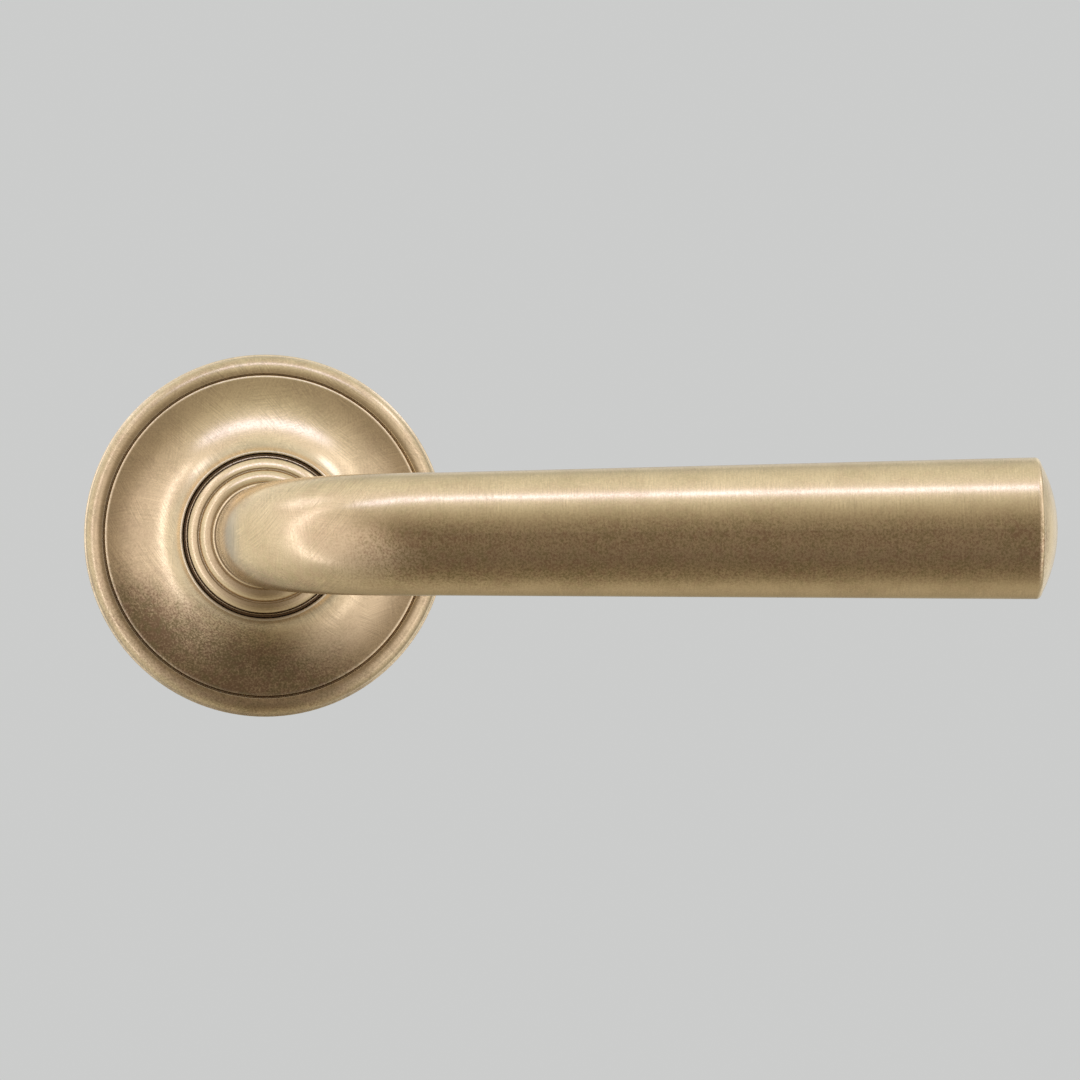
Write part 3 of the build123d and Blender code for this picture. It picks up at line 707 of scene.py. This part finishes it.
def wood_screw():
    thread = spiral(1.8, 0.62, -24.6, -7.6, sharpness=1.9, run_out=1.2)
    profile = [(PLATE_FACE, 3.45), (PLATE_FACE - 0.03, 3.55), (PLATE_FACE - 0.12, 3.57)]
    profile += [(0.5, WOOD_SHANK)]
    profile += [(h, WOOD_SHANK) for h in heights(0.4, -7.4, 1.0)]
    profile += [(h, WOOD_ROOT) for h in heights(-7.7, -19.0, 0.15)]
    profile += [(h, WOOD_ROOT * (h - WOOD_TIP) / 6.0) for h in heights(-19.15, -24.95, 0.15)]
    body = skin(turned_rings(profile, thread)[::-1])
    return cut(body, prism(cross, PLATE_FACE + 0.5, PLATE_FACE - 1.6, 0.62), "wood_screw")


def place_copies(shape, spots, name):
    """One object from a bmesh copied to several places, each a matrix."""
    mould = bpy.data.meshes.new(name + "_mould")
    shape.to_mesh(mould)
    shape.free()
    together = bmesh.new()
    for spot in spots:
        known = len(together.verts)
        together.from_mesh(mould)
        together.verts.ensure_lookup_table()
        bmesh.ops.transform(together, matrix=spot, verts=together.verts[known:])
    bpy.data.meshes.remove(mould)
    return piece_from(together, name)


# A piece turned about +Z points its +Z to the viewer when it lies along -Y.
TO_VIEWER = Matrix.Rotation(math.radians(90), 4, "X")


def spot_on_rose(radius, angle, turn=0.0):
    """A place on the rose's face, at a radius in mm and an angle, turned about its own axis."""
    at = Vector((radius * math.cos(math.radians(angle)), 0, radius * math.sin(math.radians(angle))))
    return Matrix.Translation(at * MM) @ TO_VIEWER @ Matrix.Rotation(math.radians(turn), 4, "Z")


# Each screw's angle round the rose, and how far it was turned when it stopped.
turns = ((45, 12), (135, 57), (225, 80), (315, 33))
wood_screws = place_copies(wood_screw(), [spot_on_rose(SCREW_CIRCLE, a, t) for a, t in turns],
                           "wood_screws_threaded")
wood_screws.data.materials.append(turned_steel)
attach(wood_screws, "rose")
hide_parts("wood_screws")
print("wood screws:", len(wood_screws.data.polygons), "faces")

# %% [markdown]
# ## Housing screws
# Two small pan-head machine screws hold the spring's housing to the plate. A pan head is
# a low cylinder with a well-rounded rim, and the thread is fine and even.


# %% Housing screws
EAR_CIRCLE = 16.0


def housing_screw():
    seat, crown = 3.0, 4.4
    thread = spiral(0.45, 0.22, 0.3, 2.9, run_out=0.3)
    profile = [*rounded_rim(crown, 2.2, 0.6), (seat, 2.2), (seat, 1.0)]
    profile += [(h, 1.0) for h in heights(2.95, 0.35, 0.06)] + [(0.2, 0.85)]
    body = skin(turned_rings(profile, thread)[::-1])
    return cut(body, prism(cross_outline(1.3, 0.5), crown + 0.4, crown - 0.9, 0.6), "housing_screw")


housing_screws = place_copies(
    housing_screw(), [spot_on_rose(EAR_CIRCLE, 90, 20), spot_on_rose(EAR_CIRCLE, 270, 65)],
    "housing_screws_threaded")
housing_screws.data.materials.append(turned_steel)
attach(housing_screws, "rose")
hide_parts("housing_screws")
print("housing screws:", len(housing_screws.data.polygons), "faces")

# %% [markdown]
# ## Fixing posts
# The two posts pass through the door and take screws from the other side, so each has a
# tapped hole in its far end. Its front end is peened over the plate like a rivet. One
# chain of rings goes over the head, down the outside, round the far end and back up
# inside the hole, so the inner thread is real and the mesh stays closed.


# %% Fixing posts
POST_CIRCLE = 19.0
POST_CROWN, POST_END = 3.0, -24.0
POST_HEAD, POST_SHANK, POST_BODY = 4.0, 2.6, 3.5


def fixing_post():
    thread = spiral(0.7, 0.3, -23.9, -13.2, run_out=0.5)
    head = [(POST_CROWN, POST_SHANK), *rounded_rim(POST_CROWN, POST_HEAD, 0.5)]
    shank = [(PLATE_FACE, POST_HEAD), (PLATE_FACE, POST_SHANK), (0.0, POST_SHANK)]
    stem = [(0.0, POST_BODY), (POST_END + 0.4, POST_BODY), (POST_END, POST_BODY - 0.4)]
    inside = [(POST_END, 2.05), (POST_END + 0.2, 1.9)]
    inside += [(h, 1.66) for h in heights(-23.75, -13.2, 0.07)] + [(-13.0, 1.6), (-12.6, 0.4)]
    return skin(turned_rings(head + shank + stem) + turned_rings(inside, thread))


posts = place_copies(
    fixing_post(), [spot_on_rose(POST_CIRCLE, 0), spot_on_rose(POST_CIRCLE, 180)],
    "fixing_posts_tapped")
posts.data.materials.append(turned_steel)
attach(posts, "rose")
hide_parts("fixing_posts")
print("posts:", len(posts.data.polygons), "faces")

# %% [markdown]
# ## Grub screw
# The headless screw under the neck grips the spindle. It is threaded all along, with a
# hexagon socket in its outer end and a cupped point inside.


# %% Grub screw
GRUB_TOP, GRUB_BOTTOM = -4.05, -7.65
GRUB_FORWARD = 19.6
HEXAGON_REACH = 1.155


def grub_screw():
    thread = spiral(0.5, 0.28, GRUB_BOTTOM + 0.1, GRUB_TOP - 0.5, run_out=0.2)
    profile = [(GRUB_BOTTOM, 1.55), (GRUB_BOTTOM + 0.15, 1.7)]
    profile += [(h, 1.71) for h in heights(GRUB_BOTTOM + 0.2, GRUB_TOP - 0.55, 0.06)]
    profile += [(GRUB_TOP - 0.5, 1.7), (GRUB_TOP, 1.2), (GRUB_TOP, 0.9), (GRUB_TOP - 0.4, 0.2)]
    sixths = [math.radians(60 * n) for n in range(6)]
    hexagon = [(HEXAGON_REACH * math.cos(a), HEXAGON_REACH * math.sin(a)) for a in sixths]
    well = prism(hexagon, GRUB_BOTTOM + 1.8, GRUB_BOTTOM - 0.4, 1.0)
    return cut(skin(turned_rings(profile, thread)), well, "grub_screw")


grub = place_copies(grub_screw(), [Matrix.Translation((0, -GRUB_FORWARD * MM, 0))],
                    "grub_screw_threaded")
grub.data.materials.append(black_steel)
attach(grub, "lever")
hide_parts("grub_screw")
print("grub screw:", len(grub.data.polygons), "faces")

# %% [markdown]
# ## Torsion spring
# One length of flat wire makes the whole spring: a fixed leg that points outwards, two
# and a half left-hand turns, and a moving leg that points forwards. It is swept as one
# wire, so the legs run into the coil through real bends. The section needs a steady
# frame along the path: on the coil and the fixed leg the thin side stays along the
# axis, and on the moving leg the wide side stays along the radius.


# %% Spring wire
COIL_RADIUS, COIL_PITCH, COIL_TURNS = 11.25, 1.32, 2.5
COIL_FRONT, LEG_ANGLE = 7.1, 112.5
COIL_STEPS = 120
FIXED_LEG_REACH, MOVING_LEG_TIP = 14.75, 10.2
WIRE_WIDE, WIRE_THIN, BEND = 1.8, 1.2, 0.95
FORWARD = Vector((0, -1, 0))


def out_at(angle):
    """The direction outwards from the spindle at an angle on the front plane."""
    return Vector((math.cos(angle), 0, math.sin(angle)))


def wire_section(centre, wide, thin):
    """A rectangle with its four corners cut, as a ring of eight points."""
    half = ((1, 0.72), (0.82, 1), (-0.82, 1), (-1, 0.72))
    corners = half + tuple((-a, -b) for a, b in half)
    return [(centre + wide * (a * WIRE_WIDE / 2) + thin * (b * WIRE_THIN / 2)) * MM
            for a, b in corners]


def spring_rings():
    """Rings from the fixed leg's end, along the coil, to the moving leg's end."""
    rings = []
    coil_back = COIL_FRONT - COIL_PITCH * COIL_TURNS
    start = math.radians(LEG_ANGLE + 180)
    # The coil runs clockwise as it comes forwards, so its direction is against the angle.
    turn_in = BEND / COIL_RADIUS
    first_out, first_way = out_at(start - turn_in), out_at(start - turn_in - math.pi / 2)
    corner = first_out * (COIL_RADIUS + BEND) + FORWARD * coil_back
    for reach in (FIXED_LEG_REACH, 13.6, COIL_RADIUS + BEND):
        centre = first_out * reach - first_way * BEND + FORWARD * coil_back
        rings.append(wire_section(centre, first_way, FORWARD))
    for step in (22.5, 45.0, 67.5):
        bend = math.radians(step)
        arm = -first_way * math.cos(bend) - first_out * math.sin(bend)
        rings.append(wire_section(corner + arm * BEND, -arm, FORWARD))
    last_turn = 2 * math.pi * COIL_TURNS - BEND / COIL_RADIUS
    for n in range(COIL_STEPS + 1):
        turn = turn_in + (last_turn - turn_in) * n / COIL_STEPS
        out = out_at(start - turn)
        height = coil_back + COIL_PITCH * turn / (2 * math.pi)
        rings.append(wire_section(out * COIL_RADIUS + FORWARD * height, out, FORWARD))
    out = out_at(start - last_turn)
    way = out_at(start - last_turn - math.pi / 2)
    base = out * COIL_RADIUS + FORWARD * COIL_FRONT
    for step in (30.0, 60.0, 90.0):
        bend = math.radians(step)
        centre = base + way * (BEND * math.sin(bend)) + FORWARD * (BEND * (1 - math.cos(bend)))
        rings.append(wire_section(centre, out, FORWARD * math.cos(bend) - way * math.sin(bend)))
    tip = base + way * BEND + FORWARD * (MOVING_LEG_TIP - COIL_FRONT)
    rings.append(wire_section(tip, out, -way))
    return rings


spring = piece_from(skin(spring_rings()), "torsion_spring_wound", sharp_angle=30.0)
spring.data.materials.append(spring_steel)
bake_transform(spring)
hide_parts("torsion_spring")
print("spring:", len(spring.data.polygons), "faces,", COIL_TURNS, "turns")

# %% [markdown]
# ## Light
# A curved metal surface is a mirror, so its look is the room's look. The room here is
# drawn in the world shader by the angle from the viewer's direction: dark in front,
# brighter overhead and at the sides, and a pale wall behind. Four ramps hold that, one
# for each way, weighed by how far round the direction lies. On top of it come a few
# narrow panels: one overhead, one each side, two in the upper corners and a window
# behind. They make the crisp highlights on the bar and the crescents on the rose. The
# camera itself sees one plain pale tone.

# %% Room tones
ROOM_FRONT = (0.22, 0.186, 0.157)
ROOM_WALL = (0.42, 0.42, 0.41)
ROOM_ABOVE = [
    (0.0, ROOM_FRONT), (0.028, (0.224, 0.19, 0.16)), (0.055, (0.255, 0.222, 0.183)),
    (0.11, (0.335, 0.3, 0.25)), (0.2, (0.45, 0.425, 0.365)), (0.27, (0.6, 0.59, 0.54)),
    (0.33, (0.8, 0.79, 0.79)), (0.38, (0.92, 0.9, 0.95)), (0.43, (0.9, 0.88, 0.92)),
    (0.51, (0.82, 0.83, 0.83)), (0.6, (0.75, 0.76, 0.73)), (0.71, (0.65, 0.66, 0.63)),
    (0.8, (0.44, 0.45, 0.42)), (0.87, (0.34, 0.35, 0.34)), (1.0, ROOM_WALL)]
ROOM_LEFT = [
    (0.0, ROOM_FRONT), (0.1, (0.24, 0.2, 0.17)), (0.15, (0.34, 0.29, 0.25)),
    (0.2, (0.62, 0.56, 0.56)), (0.25, (0.74, 0.68, 0.7)), (0.4, (0.86, 0.81, 0.85)),
    (0.48, (0.84, 0.83, 0.84)), (0.68, (0.8, 0.79, 0.76)), (0.78, (0.58, 0.57, 0.54)),
    (1.0, ROOM_WALL)]
ROOM_RIGHT = [
    (0.0, ROOM_FRONT), (0.12, (0.27, 0.225, 0.185)), (0.18, (0.55, 0.5, 0.5)),
    (0.25, (0.78, 0.73, 0.76)), (0.44, (0.9, 0.86, 0.9)), (0.54, (0.78, 0.76, 0.76)),
    (0.6, (0.5, 0.49, 0.48)), (0.66, (0.3, 0.29, 0.28)), (0.7, (0.4, 0.39, 0.38)),
    (0.76, (0.74, 0.74, 0.72)), (0.86, (0.8, 0.8, 0.78)), (1.0, ROOM_WALL)]
ROOM_BELOW = [
    (0.0, ROOM_FRONT), (0.03, (0.218, 0.184, 0.155)), (0.11, (0.215, 0.18, 0.15)),
    (0.25, (0.175, 0.145, 0.12)), (0.37, (0.185, 0.152, 0.118)), (0.43, (0.225, 0.19, 0.145)),
    (0.51, (0.27, 0.235, 0.185)), (0.6, (0.38, 0.345, 0.28)), (0.71, (0.4, 0.36, 0.295)),
    (0.87, (0.31, 0.265, 0.175)), (1.0, ROOM_WALL)]
print("room tones:", len(ROOM_ABOVE), len(ROOM_LEFT), len(ROOM_RIGHT), len(ROOM_BELOW))

# %% [markdown]
# ## The world shader
# The share of the half turn from the viewer's direction picks a tone on each ramp. The
# direction's own height and its reach to the right say how much each ramp counts, and
# they mask the panels too. Light Path keeps all of it from the camera's own view.


# %% World
def panel(tree, share, near, far, masks, colour):
    """A soft-edged light between two shares of the half turn, shown where the masks allow."""
    edge = 0.02
    shown = between(tree, share, (near - edge, near + edge), (far + edge, far - edge))
    for mask in masks:
        shown = sums(tree, "MULTIPLY", shown, mask)
    return mix(tree, shown, (0.0, 0.0, 0.0), colour)


def make_world():
    world = bpy.data.worlds.new("studio")
    bpy.context.scene.world = world
    world.use_nodes = True
    tree = world.node_tree
    tree.nodes.clear()
    towards = node(tree, "ShaderNodeTexCoord")
    x, y, z = node(tree, "ShaderNodeSeparateXYZ", {0: towards.outputs["Generated"]}).outputs
    from_viewer = sums(tree, "ARCCOSINE", sums(tree, "MULTIPLY", y, -1.0))
    share = sums(tree, "DIVIDE", from_viewer, math.pi)
    squares = sums(tree, "ADD", sums(tree, "MULTIPLY", x, x), sums(tree, "MULTIPLY", z, z))
    side = sums(tree, "MAXIMUM", sums(tree, "SQRT", squares), 0.001)
    height = sums(tree, "DIVIDE", z, side)
    right = sums(tree, "DIVIDE", x, side)
    # Between the panels the room is darker, as if each tone lay a little further round.
    upper = sums(tree, "MAXIMUM", height, 0.0)
    slant = sums(tree, "MULTIPLY", sums(tree, "ABSOLUTE", right), upper)
    slant = sums(tree, "MULTIPLY", slant, slant)
    slant = sums(tree, "MULTIPLY", slant, sums(tree, "MULTIPLY_ADD", right, 0.25, -0.92))
    later = sums(tree, "MULTIPLY", share, sums(tree, "ADD", slant, 1.0))
    up = sums(tree, "POWER", upper, 2.0)
    low = sums(tree, "MAXIMUM", sums(tree, "MULTIPLY", height, -1.0), 0.0)
    focus = sums(tree, "MULTIPLY_ADD", share, 4.8, 1.2)
    focus = sums(tree, "MULTIPLY_ADD", sums(tree, "MAXIMUM", right, 0.0), 1.6, focus)
    down = sums(tree, "POWER", low, focus)
    sides = mix(tree, fade(tree, right, -0.35, 0.35), ramp(tree, later, ROOM_LEFT),
                ramp(tree, later, ROOM_RIGHT))
    room = mix(tree, up, sides, ramp(tree, later, ROOM_ABOVE))
    room = mix(tree, down, room, ramp(tree, share, ROOM_BELOW))
    off_top = sums(tree, "ABSOLUTE", right)
    above = fade(tree, height, 0.0, 0.3)
    over = fade(tree, off_top, 0.68, 0.4)
    leftwards = fade(tree, right, -0.6, -0.85)
    rightwards = fade(tree, right, 0.45, 0.8)
    corner = sums(tree, "MULTIPLY", fade(tree, off_top, 0.54, 0.66), fade(tree, height, 0.56, 0.68))
    corner = sums(tree, "MULTIPLY", corner, sums(tree, "MULTIPLY_ADD", right, 0.35, 0.75))
    rear = between(tree, z, (0.12, 0.22), (0.62, 0.52))
    window = sums(tree, "MULTIPLY", rear, fade(tree, sums(tree, "ABSOLUTE", x), 0.5, 0.38))
    lights = [
        panel(tree, share, 0.376, 0.407, [above, over], (1.25, 1.42, 2.65)),
        panel(tree, share, 0.43, 0.458, [leftwards], (1.3, 1.3, 1.7)),
        panel(tree, share, 0.4, 0.44, [rightwards], (0.5, 0.5, 0.6)),
        panel(tree, share, 0.5, 0.59, [above, corner], (1.1, 1.2, 1.7)),
        panel(tree, share, 0.78, 1.1, [window], (0.28, 0.27, 0.26)),
    ]
    for light in lights:
        room = mix(tree, 1.0, room, light, blend="ADD")
    lit = node(tree, "ShaderNodeBackground", {"Color": room})
    plain = node(tree, "ShaderNodeBackground", {"Color": (0.60, 0.605, 0.60, 1.0)})
    path = node(tree, "ShaderNodeLightPath")
    both = node(tree, "ShaderNodeMixShader", {0: path.outputs["Is Camera Ray"], 1: lit.outputs[0],
                                              2: plain.outputs[0]})
    node(tree, "ShaderNodeOutputWorld", {"Surface": both.outputs[0]})
    return len(lights)


print("panels:", make_world())
bpy.context.scene.view_settings.view_transform = "Standard"

# %% [markdown]
# ## Floor
# A pale floor lies well below the handle, so that views from above have something under
# them. Its rim fades away, and a wide soft lamp lights it from above. Neither shows in
# the brass, whose reflections come from the room alone.


# %% Floor and lamp
FLOOR_HALF = 1.6
FLOOR_PLACE = (0.05, -0.03, -0.25)
# The floor is clear at the first distance from its middle, and solid at the second.
FLOOR_RIM = (1500.0, 500.0)


def make_floor():
    shape = bmesh.new()
    bmesh.ops.create_grid(shape, x_segments=24, y_segments=24, size=FLOOR_HALF)
    floor = piece_from(shape, "floor")
    floor.location = FLOOR_PLACE
    made, tree, shader, position = new_material("pale_floor", 0.0)
    away = node(tree, "ShaderNodeVectorMath", {0: position}, operation="LENGTH")
    cloud = node(tree, "ShaderNodeTexNoise", {"Vector": position, "Scale": 0.01, "Detail": 3.0})
    tone = mix(tree, cloud.outputs["Fac"], (0.6, 0.585, 0.555), (0.65, 0.635, 0.6))
    wire(tree, shader, {"Base Color": tone, "Roughness": 0.7,
                        "Alpha": fade(tree, away.outputs["Value"], *FLOOR_RIM)})
    floor.data.materials.append(made)
    floor.visible_glossy = False
    floor.visible_diffuse = False
    return floor


floor = make_floor()
lamp_data = bpy.data.lights.new("overhead", "AREA")
lamp_data.size = 1.2
lamp_data.energy = 5.0
lamp = bpy.data.objects.new("overhead", lamp_data)
lamp.location = (0.0, -0.2, 1.3)
lamp.visible_glossy = False
bpy.context.scene.collection.objects.link(lamp)
print("floor at", floor.location[2], "m")

# %% [markdown]
# ## Camera
# The handle is seen straight on from nearly two metres, through a long lens, with the
# rose left of the middle and the lever running to the right. The camera leans by about
# half a degree, which makes the bar climb slightly.


# %% Camera
CAMERA_DISTANCE = 1.8
LENS = 362.0
LEAN = math.radians(0.55)
RIGHT_OF_ROSE = 45.54 * MM
BELOW_ROSE = 0.72 * MM

right = Vector((math.cos(LEAN), 0, -math.sin(LEAN)))
up = Vector((math.sin(LEAN), 0, math.cos(LEAN)))
target = right * RIGHT_OF_ROSE - up * BELOW_ROSE
eye = Vector((0, -CAMERA_DISTANCE, 0))
ahead = (target - eye).normalized()
right = (right - ahead * right.dot(ahead)).normalized()
up = right.cross(ahead)
camera = bpy.data.objects.new("camera", bpy.data.cameras.new("camera"))
camera.data.lens = LENS
camera.data.clip_end = 20.0
camera.matrix_world = Matrix.Translation(eye) @ Matrix((right, up, -ahead)).transposed().to_4x4()
bpy.context.scene.collection.objects.link(camera)
bpy.context.scene.camera = camera
print("camera to target:", round((target - eye).length, 3), "m")

# %% [markdown]
# ## End

# %% End
print("scene built")
